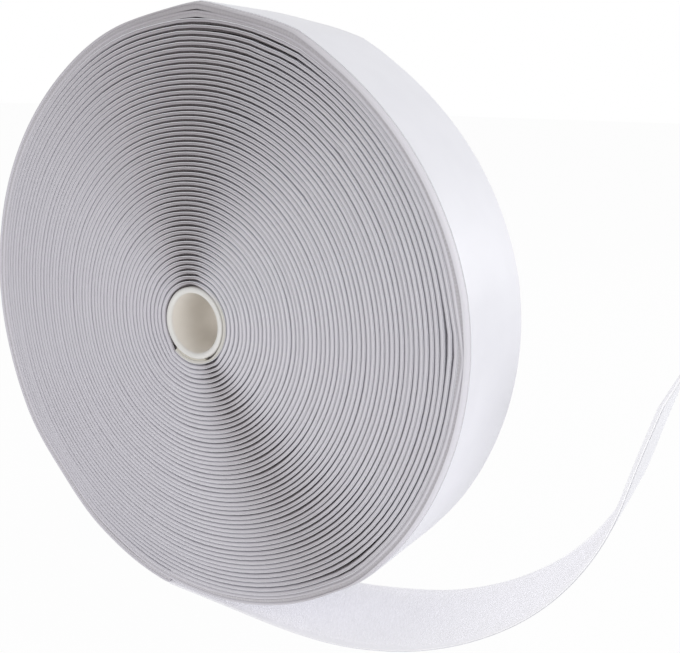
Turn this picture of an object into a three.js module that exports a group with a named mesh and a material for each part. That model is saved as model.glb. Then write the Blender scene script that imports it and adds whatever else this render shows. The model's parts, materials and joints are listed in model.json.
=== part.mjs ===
// A roll of hook tape with an adhesive back, 50 mm by 25 m, that stands on its rim.
// Its loose end leaves the roll at the bottom, rests on the ground and curls up beside the roll.
// Millimetres, +Z up. The roll's axis runs along Y, and the loose end points to +X.
// The origin is on the ground, straight below the roll's axis.
// From the roll's inside to its outside each turn has hooks, woven ground, adhesive and liner.

import * as THREE from "three";

// Roll and core
const rollDiameter = 260;
const tapeWidth = 50;
const coreDiameter = 32;
const coreWall = 2.8;
const coreEdgeRound = 0.5;

// The tape's layers, from the hooks inwards to the liner outwards
const hookHeight = 1.3;
const groundThickness = 0.5;
const adhesiveThickness = 0.18;
const linerThickness = 0.12;
const selvedgeWidth = 2.5;
const adhesiveInset = 0.5;

// Wound turns: each loop here stands for about two real turns
const windingLoops = 23;
const stepsInLoop = 24;
const startLeadSteps = 2;
const outerTurnSteps = 22;
const loopGap = 0.65;

// The strip of adhesive that holds the first turn to the core
const startStripThickness = 0.2;
const startStripInset = 3;
const startStripSteps = 3;
const coreSeat = 0.05;

// The loose end: where its flat stretch stops, then a chain of arcs (left turns are positive)
const restingReach = 35;
const riseLength = 66;
const riseTurn = 18;
const sweepLength = 58;
const sweepTurn = 23;
const climbLength = 27;
const climbTurn = 14;
const curlLength = 43;
const curlTurn = 22;
const tipLength = 36;
const tipTurn = -3;
const arcStep = 8;

// Clearances where two stretches of tape meet
const spliceGap = 0.3;
const flexGap = 0.7;
const peelHingeGap = 0.3;
const peelGap = 0.05;

// Values that follow from the sizes above
const tapeThickness = hookHeight + groundThickness + adhesiveThickness + linerThickness;
const axisHeight = rollDiameter / 2;
const coreRadius = coreDiameter / 2;
const coreLength = tapeWidth;
const startStripWidth = tapeWidth - 2 * startStripInset;
const stepAngle = (2 * Math.PI) / stepsInLoop;
const facetShare = Math.cos(stepAngle / 2);
const exitAngle = -Math.PI / 2 - stepAngle / 2;
const exitStep = windingLoops * stepsInLoop + startLeadSteps;
const woundEndStep = exitStep - outerTurnSteps;
const firstApothem = coreRadius + coreSeat + startStripThickness + coreSeat;
const exitApothem = axisHeight - tapeThickness;
const growthPerStep = (exitApothem - firstApothem) / exitStep;
const loopPitch = growthPerStep * stepsInLoop;
const loopThickness = loopPitch - loopGap;

// Layer bounds, measured outwards from the hooks' tips
const hookBase = hookHeight;
const groundBack = hookBase + groundThickness;
const adhesiveFace = groundBack + adhesiveThickness;
const linerBack = tapeThickness;

// Materials
const corePlastic = new THREE.MeshStandardMaterial({ color: 0xe9e4da, roughness: 0.55, metalness: 0 });
const stripAdhesive = new THREE.MeshStandardMaterial({ color: 0xd9d3c2, roughness: 0.35, metalness: 0 });
const wovenNylon = new THREE.MeshStandardMaterial({ color: 0xd9d8de, roughness: 0.75, metalness: 0 });
const hookNylon = new THREE.MeshStandardMaterial({ color: 0xe4e4e8, roughness: 0.6, metalness: 0 });
const tapeAdhesive = new THREE.MeshStandardMaterial({ color: 0xcfcdc8, roughness: 0.3, metalness: 0 });
const linerFilm = new THREE.MeshStandardMaterial({ color: 0xeeeef6, roughness: 0.4, metalness: 0 });

/** A station of the tape's route: a point on the line of the hooks' tips, and the way outwards from it. */
function station(x, z, outX, outZ) {
  return { x, z, outX, outZ };
}

/** A station on the winding. Its facets lie at the apothem, so layers keep their thickness. */
function windingStation(step, apothem) {
  const angle = exitAngle - (exitStep - step) * stepAngle;
  const outX = Math.cos(angle) / facetShare;
  const outZ = Math.sin(angle) / facetShare;
  return station(apothem * outX, apothem * outZ, outX, outZ);
}

/** The stations of the winding from one step to another. */
function windingRoute(fromStep, toStep) {
  const route = [];
  for (let step = fromStep; step <= toStep; step += 1) {
    route.push(windingStation(step, firstApothem + growthPerStep * step));
  }
  return route;
}

/** Stations round the core at one apothem, for what lies on the core. */
function coreRoute(fromStep, toStep, apothem) {
  const route = [];
  for (let step = fromStep; step <= toStep; step += 1) {
    route.push(windingStation(step, apothem));
  }
  return route;
}

/** The stations along one arc that goes on from a place and a heading, with its first place left out. */
function arcRoute(start, length, turnDegrees) {
  const steps = Math.ceil(length / arcStep);
  const turn = THREE.MathUtils.degToRad(turnDegrees) / steps;
  const route = [];
  let { x, z, heading } = start;
  for (let step = 0; step < steps; step += 1) {
    x += Math.cos(heading + turn / 2) * (length / steps);
    z += Math.sin(heading + turn / 2) * (length / steps);
    heading += turn;
    route.push(station(x, z, Math.sin(heading), -Math.cos(heading)));
  }
  return { route, end: { x, z, heading } };
}

/** The line of points that lies a distance outwards from a route. */
function offsetLine(route, distance) {
  return route.map((s) => new THREE.Vector2(s.x + s.outX * distance, s.z + s.outZ * distance));
}

/** A station moved along a route towards another one by a length. */
function shifted(from, to, length) {
  const share = length / Math.hypot(to.x - from.x, to.z - from.z);
  return station(
    THREE.MathUtils.lerp(from.x, to.x, share),
    THREE.MathUtils.lerp(from.z, to.z, share),
    THREE.MathUtils.lerp(from.outX, to.outX, share),
    THREE.MathUtils.lerp(from.outZ, to.outZ, share),
  );
}

/** A route with a length cut off each end. */
function trimmed(route, startCut, endCut) {
  const last = route.length - 1;
  const cut = route.slice();
  if (startCut > 0) cut[0] = shifted(route[0], route[1], startCut);
  if (endCut > 0) cut[last] = shifted(route[last], route[last - 1], endCut);
  return cut;
}

/** A closed strip between two lines of points in the XZ plane, as wide as given and centred on Y. */
function stripSolid(innerLine, outerLine, width) {
  const positions = [];
  for (let i = 0; i < innerLine.length; i += 1) {
    for (const line of [innerLine, outerLine]) {
      positions.push(line[i].x, -width / 2, line[i].y);
      positions.push(line[i].x, width / 2, line[i].y);
    }
  }
  const indices = [];
  const quad = (a, b, c, d) => indices.push(a, b, c, a, c, d);
  const last = innerLine.length - 1;
  for (let i = 0; i < last; i += 1) {
    const a = 4 * i;
    const b = a + 4;
    quad(a, b, b + 1, a + 1);
    quad(a + 2, a + 3, b + 3, b + 2);
    quad(a, a + 2, b + 2, b);
    quad(a + 1, b + 1, b + 3, a + 3);
  }
  quad(0, 1, 3, 2);
  quad(4 * last, 4 * last + 2, 4 * last + 3, 4 * last + 1);
  const geometry = new THREE.BufferGeometry();
  geometry.setAttribute("position", new THREE.Float32BufferAttribute(positions, 3));
  geometry.setIndex(indices);
  geometry.computeVertexNormals();
  return geometry;
}

/** One layer of tape along a route, between two distances outwards from the hooks' tips. */
function layer(name, material, route, from, to, width) {
  const mesh = new THREE.Mesh(stripSolid(offsetLine(route, from), offsetLine(route, to), width), material);
  mesh.name = name;
  return mesh;
}

/** The hooks, woven ground and adhesive of one stretch of tape. */
function tapeLayers(prefix, route) {
  return [
    layer(`${prefix}_hooks`, hookNylon, route, 0, hookBase, tapeWidth - 2 * selvedgeWidth),
    layer(`${prefix}_ground`, wovenNylon, route, hookBase, groundBack, tapeWidth),
    layer(`${prefix}_adhesive`, tapeAdhesive, route, groundBack, adhesiveFace, tapeWidth - 2 * adhesiveInset),
  ];
}

/** The release liner of one stretch of tape. */
function linerLayer(name, route) {
  return layer(name, linerFilm, route, adhesiveFace, linerBack, tapeWidth);
}

/** The core: a plain tube with eased edges, turned round the roll's axis. */
function coreTube() {
  const bore = coreRadius - coreWall;
  const end = coreLength / 2;
  const profile = [
    new THREE.Vector2(bore, -end + coreEdgeRound),
    new THREE.Vector2(bore + coreEdgeRound, -end),
    new THREE.Vector2(coreRadius - coreEdgeRound, -end),
    new THREE.Vector2(coreRadius, -end + coreEdgeRound),
    new THREE.Vector2(coreRadius, end - coreEdgeRound),
    new THREE.Vector2(coreRadius - coreEdgeRound, end),
    new THREE.Vector2(bore + coreEdgeRound, end),
    new THREE.Vector2(bore, end - coreEdgeRound),
    new THREE.Vector2(bore, -end + coreEdgeRound),
  ];
  const mesh = new THREE.Mesh(new THREE.LatheGeometry(profile, 2 * stepsInLoop), corePlastic);
  mesh.name = "core_tube";
  return mesh;
}

/** The least distance between one loop's outside and the next loop's inside. */
function leastLoopGap(route) {
  const inside = offsetLine(route, 0);
  const outside = offsetLine(route, loopThickness);
  const nearest = new THREE.Vector3();
  const lift = (p) => new THREE.Vector3(p.x, p.y, 0);
  let least = Infinity;
  for (let i = 0; i + stepsInLoop + 1 < route.length; i += 1) {
    const middle = new THREE.Vector2().lerpVectors(outside[i], outside[i + 1], 1 / 2);
    for (const point of [outside[i], middle]) {
      for (let j = i + stepsInLoop - 1; j <= i + stepsInLoop; j += 1) {
        const facet = new THREE.Line3(lift(inside[j]), lift(inside[j + 1]));
        facet.closestPointToPoint(lift(point), true, nearest);
        least = Math.min(least, nearest.distanceTo(lift(point)));
      }
    }
  }
  return least;
}

// Routes of the winding, the outermost turn and each stretch of the loose end
const woundRoute = windingRoute(0, woundEndStep);
const outerTurnRoute = windingRoute(woundEndStep, exitStep);
const exitStation = outerTurnRoute.at(-1);
const flatEnd = station(restingReach, -exitApothem, 0, -1);
const rise = arcRoute({ x: flatEnd.x, z: flatEnd.z, heading: 0 }, riseLength, riseTurn);
const sweep = arcRoute(rise.end, sweepLength, sweepTurn);
const climb = arcRoute(sweep.end, climbLength, climbTurn);
const curl = arcRoute(climb.end, curlLength, curlTurn);
const tip = arcRoute(curl.end, tipLength, tipTurn);

const restingRoute = trimmed([exitStation, flatEnd, ...rise.route], spliceGap, flexGap / 2);
const lowerStart = rise.route.at(-1);
const lowerRoute = trimmed([lowerStart, ...sweep.route, ...climb.route], flexGap / 2, flexGap / 2);
const upperStart = climb.route.at(-1);
const upperRoute = trimmed([upperStart, ...curl.route, ...tip.route], flexGap / 2, 0);
const peelStart = curl.route.at(-1);
const upperLinerRoute = trimmed([upperStart, ...curl.route], flexGap / 2, peelHingeGap / 2);
const peelRoute = trimmed([peelStart, ...tip.route], peelHingeGap / 2, 0);

// The roll, with its axis at the group's origin
const roll = new THREE.Group();
roll.position.z = axisHeight;
roll.add(coreTube());

const startStripApothem = coreRadius + coreSeat;
roll.add(layer("core_start_strip", stripAdhesive, coreRoute(0, startStripSteps, startStripApothem),
  0, startStripThickness, startStripWidth));
roll.add(layer("wound_tape", wovenNylon, woundRoute, 0, loopThickness, tapeWidth));
console.log(`least gap of the wound tape to itself: ${leastLoopGap(woundRoute).toFixed(3)} mm`);

const outerRoute = trimmed(outerTurnRoute, spliceGap, 0);
roll.add(...tapeLayers("outer_turn", outerRoute), linerLayer("outer_turn_liner", outerRoute));
roll.add(...tapeLayers("resting", restingRoute), linerLayer("resting_liner", restingRoute));

// The loose end beyond the ground, in the two stretches that flex, and the end of the liner that peels
roll.add(...tapeLayers("lower_end", lowerRoute), linerLayer("lower_end_liner", lowerRoute));
roll.add(...tapeLayers("upper_end", upperRoute), linerLayer("upper_end_liner", upperLinerRoute));
roll.add(layer("liner_peel_tab", linerFilm, peelRoute, adhesiveFace + peelGap, linerBack + peelGap, tapeWidth));

// The places that the joints turn about, at the tape's mid-thickness and at the liner's
const flexPlace = (s) => [s.x + (s.outX * tapeThickness) / 2, axisHeight + s.z + (s.outZ * tapeThickness) / 2];
const peelDepth = (adhesiveFace + linerBack) / 2 + peelGap;
const peelPlace = [peelStart.x + peelStart.outX * peelDepth, axisHeight + peelStart.z + peelStart.outZ * peelDepth];
for (const [name, place] of [["lower flex", flexPlace(lowerStart)], ["upper flex", flexPlace(upperStart)],
  ["peel", peelPlace]]) {
  console.log(`${name} axis at x ${place[0].toFixed(2)}, z ${place[1].toFixed(2)} mm`);
}

export default roll;
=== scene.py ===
# A roll of hook tape with an adhesive back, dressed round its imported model.
# Metres, +Z up. The roll's axis runs along Y, and the loose end points to +X.
# Each layer of the tape is made as a flat strip, then laid along the line that the liner's back follows.

import json
import logging
import math
from dataclasses import dataclass, replace
from enum import Enum

import bmesh
import bpy
import numpy as np
from mathutils import Matrix, Vector

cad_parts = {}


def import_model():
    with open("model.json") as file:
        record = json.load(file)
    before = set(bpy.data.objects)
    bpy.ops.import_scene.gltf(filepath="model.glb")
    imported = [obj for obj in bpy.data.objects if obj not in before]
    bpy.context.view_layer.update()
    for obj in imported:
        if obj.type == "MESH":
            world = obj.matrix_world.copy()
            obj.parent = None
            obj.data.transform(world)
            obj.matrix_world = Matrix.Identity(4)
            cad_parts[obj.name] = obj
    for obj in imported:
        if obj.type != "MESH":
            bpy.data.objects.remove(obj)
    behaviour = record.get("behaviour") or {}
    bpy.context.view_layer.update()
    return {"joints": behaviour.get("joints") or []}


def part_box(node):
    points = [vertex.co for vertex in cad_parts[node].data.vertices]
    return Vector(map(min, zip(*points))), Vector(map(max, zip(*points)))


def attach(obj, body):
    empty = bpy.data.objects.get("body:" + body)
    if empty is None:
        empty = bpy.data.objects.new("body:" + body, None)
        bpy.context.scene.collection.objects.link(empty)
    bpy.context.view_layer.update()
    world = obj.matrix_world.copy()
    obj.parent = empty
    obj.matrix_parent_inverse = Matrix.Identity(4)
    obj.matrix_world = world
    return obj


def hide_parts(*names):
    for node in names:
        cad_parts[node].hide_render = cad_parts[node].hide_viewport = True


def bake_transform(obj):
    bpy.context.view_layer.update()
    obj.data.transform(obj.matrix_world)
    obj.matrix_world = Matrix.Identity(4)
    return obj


MM = 0.001
TAU = 2 * math.pi
Socket = bpy.types.NodeSocket
DEPTH = "inwards"
SHADE = "shade"
LIP_START = 19.0 * MM
LIP_WIDTH = 6.0 * MM
LIP_DEPTH = 0.9 * MM
CREASE_ANGLE = 40.0
MERGE_REACH = 0.01 * MM
SHORTEST_SPAN = 0.1 * MM
BEND_MARGIN = 0.5 * MM
CORE_WALL = 2.8 * MM
START_CLEARANCE = 0.1 * MM
log = logging.getLogger("tape_roll")


def unit(values: np.ndarray) -> np.ndarray:
    """Limits values to the range from 0 to 1."""
    return np.clip(values, 0.0, 1.0)


def smooth(share: np.ndarray) -> np.ndarray:
    """Eases shares from 0 to 1 in and out."""
    return share * share * (3.0 - 2.0 * share)


def degrees_off(angles: np.ndarray, middle: np.ndarray | float) -> np.ndarray:
    """How far each angle lies past a middle, from -180 to 180 degrees."""
    return (angles - middle + 180.0) % 360.0 - 180.0


# Sizes

@dataclass(frozen=True)
class TapeSizes:
    """The tape's cross section. Distances inwards are measured from the liner's back."""

    width: float
    liner: float = 0.12 * MM
    adhesive: float = 0.18 * MM
    ground: float = 0.50 * MM
    hooks: float = 1.30 * MM
    liner_inset: float = 0.45 * MM
    adhesive_inset: float = 0.60 * MM
    selvedge: float = 2.50 * MM
    packed_depth: float = 2.50 * MM
    packed_reach: float = -0.08 * MM
    packed_sink: float = 0.05 * MM
    selvedge_swell: float = 0.90 * MM
    selvedge_round: float = 0.65 * MM
    selvedge_slope: float = 0.15 * MM
    slack_narrowing: float = 0.65

    @property
    def adhesive_back(self) -> float:
        """Where the adhesive meets the liner."""
        return self.liner

    @property
    def ground_back(self) -> float:
        """Where the woven ground meets the adhesive."""
        return self.liner + self.adhesive

    @property
    def ground_face(self) -> float:
        """Where the hooks leave the woven ground."""
        return self.ground_back + self.ground

    @property
    def thickness(self) -> float:
        """The loose tape's whole thickness, from the liner's back to the hooks' tips."""
        return self.ground_face + self.hooks


class Layer(Enum):
    """The tape's layers, each with the record's slot for its finish."""

    LINER = "liner_film"
    ADHESIVE = "tape_adhesive"
    GROUND = "woven_nylon"
    HOOKS = "hook_nylon"


@dataclass(frozen=True)
class Dent:
    """One place where the turns stand out of round.

    The angle and its reach before and after are degrees, counted from +X towards +Z.
    Radius, depth of reach and height are millimetres. A creased dent is sharp, any other is soft.
    """

    angle: float
    before: float
    after: float
    radius: float
    reach: float
    height: float
    creased: bool = False

    def lift(self, angles: np.ndarray, radii: np.ndarray) -> np.ndarray:
        """Works out how far the dent moves each place outwards.

        Args:
            angles: Polar angles of the places, in degrees.
            radii: Their distances from the roll's axis.

        Returns:
            The distances outwards, negative where the dent goes in.
        """
        off = degrees_off(angles, self.angle)
        share = unit(1.0 - np.abs(off) / np.where(off < 0.0, self.before, self.after))
        share = share ** 1.5 if self.creased else smooth(share)
        away = (radii - self.radius * MM) / (self.reach * MM)
        return self.height * MM * share * np.exp(-(away ** 2))


# Routes

@dataclass(frozen=True)
class Route:
    """The line that the liner's back follows: lengths along the tape, places and ways outwards in XZ.

    Sway moves the tape along Y, and lean is how far it moves inwards for each step across it. Slack says how
    far the turns' selvedges stand apart and shade how much they darken each other, both from 0 to 1, and lip
    how far the front selvedge curls inwards.
    """

    along: np.ndarray
    places: np.ndarray
    outwards: np.ndarray
    sway: np.ndarray
    lean: np.ndarray
    slack: np.ndarray
    shade: np.ndarray
    lip: np.ndarray

    @staticmethod
    def curled_share(points: np.ndarray) -> np.ndarray:
        """How far into the curl of the front selvedge each point lies, from 0 to 1."""
        return unit((-points[:, 1] - LIP_START) / LIP_WIDTH) ** 2

    def loosened(self, points: np.ndarray, face: float, narrowing: float) -> np.ndarray:
        """Draws in what stands above the ground's face where the turns are slack or curled.

        Args:
            points: Rows of length along the tape, distance across it and distance inwards.
            face: How far inwards the ground's face lies.
            narrowing: The share of the height above it that full slack takes away.

        Returns:
            The points, drawn in.
        """
        above = np.maximum(points[:, 2] - face, 0.0)
        loose = narrowing * np.interp(points[:, 0], self.along, self.slack)
        curled = self.curled_share(points) * np.interp(points[:, 0], self.along, self.lip) / LIP_DEPTH
        return points - np.outer(above * np.maximum(loose, curled), (0.0, 0.0, 1.0))

    def laid(self, points: np.ndarray) -> np.ndarray:
        """Lays points of a flat strip along the route.

        Args:
            points: Rows of length along the tape, distance across it and distance inwards.

        Returns:
            The same points, in place in the scene.
        """
        def read(values: np.ndarray) -> np.ndarray:
            """Reads a value of the route at each point's length."""
            return np.interp(points[:, 0], self.along, values)

        inwards = points[:, 2] + read(self.lean) * points[:, 1] + read(self.lip) * self.curled_share(points)
        x = read(self.places[:, 0]) - read(self.outwards[:, 0]) * inwards
        z = read(self.places[:, 1]) - read(self.outwards[:, 1]) * inwards
        return np.column_stack([x, points[:, 1] + read(self.sway), z])

    def between(self, start: float, end: float) -> np.ndarray:
        """The route's own lengths from start to end, with both ends in."""
        inside = self.along[(self.along > start + SHORTEST_SPAN) & (self.along < end - SHORTEST_SPAN)]
        return np.concatenate([[start], inside, [end]])


@dataclass(frozen=True)
class Sector:
    """A part of the face where the selvedges stand apart or in shade.

    Angles are degrees, for places at the core. Drift moves it on towards the rim, and spread widens it there on
    the side of smaller angles.
    """

    angle: float
    drift: float
    before: float
    spread: float
    after: float
    at_core: float
    at_rim: float

    def share(self, degrees: np.ndarray, outward_share: np.ndarray) -> np.ndarray:
        """How much of the sector's effect each place gets, from 0 to 1."""
        off = degrees_off(degrees - self.angle, self.drift * outward_share)
        width = np.where(off < 0.0, self.before + self.spread * outward_share, self.after)
        return (self.at_core + (self.at_rim - self.at_core) * outward_share) * np.exp(-((off / width) ** 2))


@dataclass(frozen=True)
class WoundLine:
    """The wound part of the tape, from its start on the core to where it leaves the roll."""

    axis_height: float
    start_radius: float
    end_radius: float
    start_angle: float = -127.5
    end_angle: float = -97.5
    turns: int = 54
    outer_turns: int = 2
    calm_rim: float = 6.0 * MM
    calm_floor: float = 0.65
    coarse_steps: int = 100
    fine_steps: int = 300
    calm_start_turns: float = 1.5
    calm_end_turns: float = 0.06
    opening: float = 1.45 * MM
    opening_turns: float = 0.3
    stand: float = 0.5 * MM
    stand_turns: float = 1.05
    stand_fade_turns: float = 0.1
    lip_stand_share: float = 0.1
    still_end_turns: float = 0.2
    wave_size: float = 0.42 * MM
    seed: int = 7

    # Counts of the shared waves round a turn, then rates and sizes in millimetres of each turn's own
    WAVE_COUNTS = (2, 3, 4, 5, 7, 9, 12)
    RIPPLES = ((0.37, 0.05), (1.13, 0.045), (2.71, 0.04), (5.3, 0.035), (11.7, 0.03))
    SWAYS = ((0.21, 0.07), (0.83, 0.05), (3.2, 0.04), (7.9, 0.03))

    DENTS = (
        # The creased peak at the top of the rim, and the flat beside it
        Dent(88.6, 10.0, 16.0, 129.2, 3.2, 2.4, creased=True),
        Dent(84.0, 36.0, 34.0, 129.2, 7.0, 1.1),
        Dent(108.0, 14.0, 20.0, 129.2, 6.0, 0.7),
        Dent(67.0, 10.0, 10.0, 129.2, 4.0, 1.0, creased=True),
        # The rim stands out at the right and lies flatter at the lower left
        Dent(14.0, 50.0, 44.0, 129.0, 9.0, 0.7),
        Dent(44.0, 40.0, 26.0, 129.5, 5.0, -0.8),
        Dent(172.0, 18.0, 18.0, 129.5, 8.0, -0.4),
        Dent(198.0, 26.0, 26.0, 129.5, 10.0, -1.1),
        Dent(225.0, 16.0, 17.0, 129.0, 8.0, -2.1),
        Dent(92.5, 9.0, 9.0, 119.0, 7.0, 0.45, creased=True),
        # Outer turns kinked at the right, and wavy above that
        Dent(12.6, 15.0, 15.0, 129.4, 1.3, 0.6, creased=True),
        Dent(2.8, 10.0, 9.0, 126.4, 1.3, 1.7, creased=True),
        Dent(5.3, 10.0, 8.0, 124.3, 1.3, 1.2, creased=True),
        Dent(6.0, 10.0, 9.0, 122.2, 1.4, 0.8, creased=True),
        Dent(64.0, 5.0, 4.0, 124.0, 3.0, 0.5, creased=True),
        Dent(71.0, 4.0, 5.0, 119.0, 4.0, -0.4),
        # Small creases in the middle turns
        Dent(47.0, 3.0, 3.0, 84.0, 2.5, 0.45, creased=True),
        Dent(47.5, 2.6, 2.6, 96.0, 3.0, 0.4, creased=True),
        Dent(46.5, 2.6, 2.6, 107.0, 3.0, 0.4, creased=True),
        # Looser places round the rim
        Dent(216.0, 18.0, 18.0, 116.0, 8.0, 0.5),
        Dent(257.0, 16.0, 14.0, 128.5, 4.5, 0.9),
        Dent(312.0, 8.0, 10.0, 126.0, 5.0, 0.8),
        # The first turns opened away from the core at its lower right
        Dent(308.0, 9.0, 18.0, 20.5, 3.5, 0.55),
        # A blemish above the core
        Dent(84.0, 9.0, 9.0, 22.0, 1.6, 0.3),
    )

    SLACK_SECTORS = (
        Sector(94.0, -8.0, 13.0, 22.0, 14.0, 1.0, 0.9),
        Sector(299.0, 14.0, 10.0, 0.0, 15.0, 0.9, 0.38),
        Sector(110.0, 0.0, 14.0, 0.0, 20.0, 0.15, 0.25),
    )
    SHADE_SECTORS = (
        Sector(98.0, -5.0, 13.0, 12.0, 14.0, 1.0, 0.9),
        Sector(294.0, 12.0, 10.0, 0.0, 11.0, 0.9, 0.38),
        Sector(112.0, 0.0, 14.0, 0.0, 20.0, 0.15, 0.25),
    )

    LIP_MIDDLE = 25.0
    LIP_REACH = 95.0
    LIP_FADE = 30.0

    @property
    def whole(self) -> float:
        """The turns of the whole winding."""
        return self.turns + (self.end_angle - self.start_angle) / 360.0

    @property
    def pitch(self) -> float:
        """How far each turn lies outside the one before."""
        return (self.end_radius - self.start_radius) / self.whole

    def stepped(self, turn: np.ndarray) -> np.ndarray:
        """Turns the even growth of the radius into the step that the tape's own start makes under it.

        Args:
            turn: Turns since the tape's start.

        Returns:
            The turns' worth of growth, with the step sharp near the core and lost further out.
        """
        whole = np.floor(turn)
        part = turn - whole
        inner = self.start_radius + whole * self.pitch
        climb = np.arccos(inner / (inner + self.pitch)) / TAU
        rise = unit((part - 1.0 + climb) / climb)
        chord = (inner / np.cos(rise * climb * TAU) - inner) / self.pitch
        evened = 1.0 - np.exp(-turn / 4.0)
        return whole + chord * (1.0 - evened) + part * evened

    def unevenness(self, angles: np.ndarray, turn: np.ndarray) -> np.ndarray:
        """Slow waves that neighbouring turns share, and small ones of each turn's own.

        Args:
            angles: Polar angles, in radians.
            turn: Turns since the tape's start.

        Returns:
            Distances outwards.
        """
        draw = np.random.default_rng(self.seed)
        outward_share = turn / self.turns
        waves = np.zeros_like(turn)
        for count in self.WAVE_COUNTS:
            size = self.wave_size / count ** 0.8
            phase, drift = draw.uniform(0.0, TAU), draw.uniform(-3.0, 3.0)
            waves += size * np.cos(count * angles + phase + drift * outward_share)
        waves *= 0.3 + 0.7 * outward_share
        return waves + self.ripples(self.RIPPLES, angles, draw)

    @staticmethod
    def ripples(sizes: tuple, angles: np.ndarray, draw: np.random.Generator) -> np.ndarray:
        """Adds up cosines of given rates and sizes in millimetres, each with a phase of its own."""
        return sum(size * MM * np.cos(rate * angles + draw.uniform(0.0, TAU)) for rate, size in sizes)

    def spread(self, sectors: tuple[Sector, ...], degrees: np.ndarray, radii: np.ndarray) -> np.ndarray:
        """How strong the slack or the shade of some sectors is: most at the top and at the lower right.

        Args:
            sectors: The sectors.
            degrees: Polar angles, in degrees.
            radii: Radii of the turns there.

        Returns:
            Values from 0 to 1.
        """
        outward_share = radii / self.end_radius
        total = sum(sector.share(degrees, outward_share) for sector in sectors)
        calm = np.clip((self.end_radius - radii) / self.calm_rim, self.calm_floor, 1.0)
        return calm * unit(total)

    def lip(self, degrees: np.ndarray, left: np.ndarray) -> np.ndarray:
        """How far the outermost turn's front selvedge curls inwards.

        Args:
            degrees: Polar angles, in degrees.
            left: Turns left to the end of the winding.

        Returns:
            Distances inwards, which fade out before the turn's two ends.
        """
        off = np.abs(degrees_off(degrees, self.LIP_MIDDLE))
        share = unit((self.LIP_REACH - off) / self.LIP_FADE)
        return np.where(left < 1.0, LIP_DEPTH * smooth(share), 0.0)

    def route(self, outer: bool) -> Route:
        """The inner or the outer turns of the wound line as a route.

        Args:
            outer: Whether it is the few outermost turns, in fine steps, or all those within them.

        Returns:
            A route that runs outwards.
        """
        split = self.whole - self.outer_turns
        start, stop = (split, self.whole) if outer else (0.0, split)
        steps = round((stop - start) * (self.fine_steps if outer else self.coarse_steps))
        turn = np.linspace(start, stop, steps + 1)
        degrees = self.start_angle + 360.0 * turn
        angles = np.radians(degrees)
        radii = self.start_radius + self.pitch * self.stepped(turn)
        left = self.whole - turn
        calm = unit(turn / self.calm_start_turns) * unit(left / self.calm_end_turns)
        lift = sum(dent.lift(degrees, radii) for dent in self.DENTS)
        loosened = self.opening * unit(1.0 - left / self.opening_turns) ** 2
        lip = self.lip(degrees, left)
        standing = self.stand * unit((self.stand_turns - left) / self.stand_fade_turns)
        standing = standing + self.lip_stand_share * lip
        radii = radii + calm * (lift + self.unevenness(angles, turn) + standing) + loosened
        slope = np.sin(angles)
        to_ground = np.where(slope < -0.5, self.axis_height / np.maximum(-slope, 0.5), np.inf)
        radii = np.minimum(radii, to_ground)
        out = np.column_stack([np.cos(angles), np.sin(angles)])
        places = out * radii[:, None] + np.array([0.0, self.axis_height])
        passed = math.pi * start * (self.start_radius + radii[0])
        along = passed + np.concatenate([[0.0], np.cumsum(np.hypot(*np.diff(places, axis=0).T))])
        draw = np.random.default_rng(self.seed + 1)
        sway = self.ripples(self.SWAYS, angles, draw) * unit(left / self.still_end_turns)
        slack = self.spread(self.SLACK_SECTORS, degrees, radii)
        shade = self.spread(self.SHADE_SECTORS, degrees, radii)
        return Route(along, places, out, sway, np.zeros_like(turn), slack, shade, lip)


@dataclass(frozen=True)
class LooseLine:
    """The loose end: flat on the ground, then a chain of arcs. Left turns are positive."""

    thickness: float
    rest_start: float
    rest_end: float = 35.0 * MM
    step: float = 1.0 * MM

    full_lean: float = 0.07
    lean_end: float = 90.0 * MM

    ARCS = (
        (66.0 * MM, 18.0),
        (58.0 * MM, 23.0),
        (27.0 * MM, 14.0),
        (43.0 * MM, 22.0),
        (36.0 * MM, -3.0),
    )

    def route(self) -> Route:
        """The loose end as a route, with its lengths counted from where the tape meets the ground.

        Returns:
            A route from the ground under the roll to the tape's cut end.
        """
        flat_steps = math.ceil((self.rest_end - self.rest_start) / (2 * self.step))
        inner = [(x, self.thickness) for x in np.linspace(self.rest_start, self.rest_end, flat_steps + 1)]
        headings = [0.0] * len(inner)
        along = [x - self.rest_start for x, _ in inner]
        for length, turn in self.ARCS:
            steps = math.ceil(length / self.step)
            part = math.radians(turn) / steps
            for _ in range(steps):
                (x, z), heading = inner[-1], headings[-1] + part / 2
                inner.append((x + math.cos(heading) * length / steps, z + math.sin(heading) * length / steps))
                headings.append(headings[-1] + part)
                along.append(along[-1] + length / steps)
        out = np.column_stack([np.sin(headings), -np.cos(headings)])
        places = np.array(inner) + out * self.thickness
        lean = self.full_lean * smooth(unit((places[:, 0] - self.rest_end) / (self.lean_end - self.rest_end)))
        still = np.zeros(len(along))
        return Route(np.array(along), places, out, still, lean, still, still, still)


# Making meshes

def read_points(mesh: bpy.types.Mesh) -> np.ndarray:
    """The mesh's points, one row each."""
    points = np.empty(3 * len(mesh.vertices))
    mesh.vertices.foreach_get("co", points)
    return points.reshape(-1, 3)


def write_points(mesh: bpy.types.Mesh, points: np.ndarray) -> None:
    """Puts points back into a mesh."""
    mesh.vertices.foreach_set("co", points.ravel())
    mesh.update()


def as_mesh(name: str, shape: bmesh.types.BMesh) -> bpy.types.Mesh:
    """Turns a shape into a mesh.

    Args:
        name: The mesh's name.
        shape: The shape, which is freed.

    Returns:
        The mesh.
    """
    mesh = bpy.data.meshes.new(name)
    shape.to_mesh(mesh)
    shape.free()
    return mesh


def give_values(mesh: bpy.types.Mesh, name: str, values: np.ndarray) -> None:
    """Gives each point of a mesh a value under a name."""
    mesh.attributes.new(name, "FLOAT", "POINT").data.foreach_set("value", values)


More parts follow.
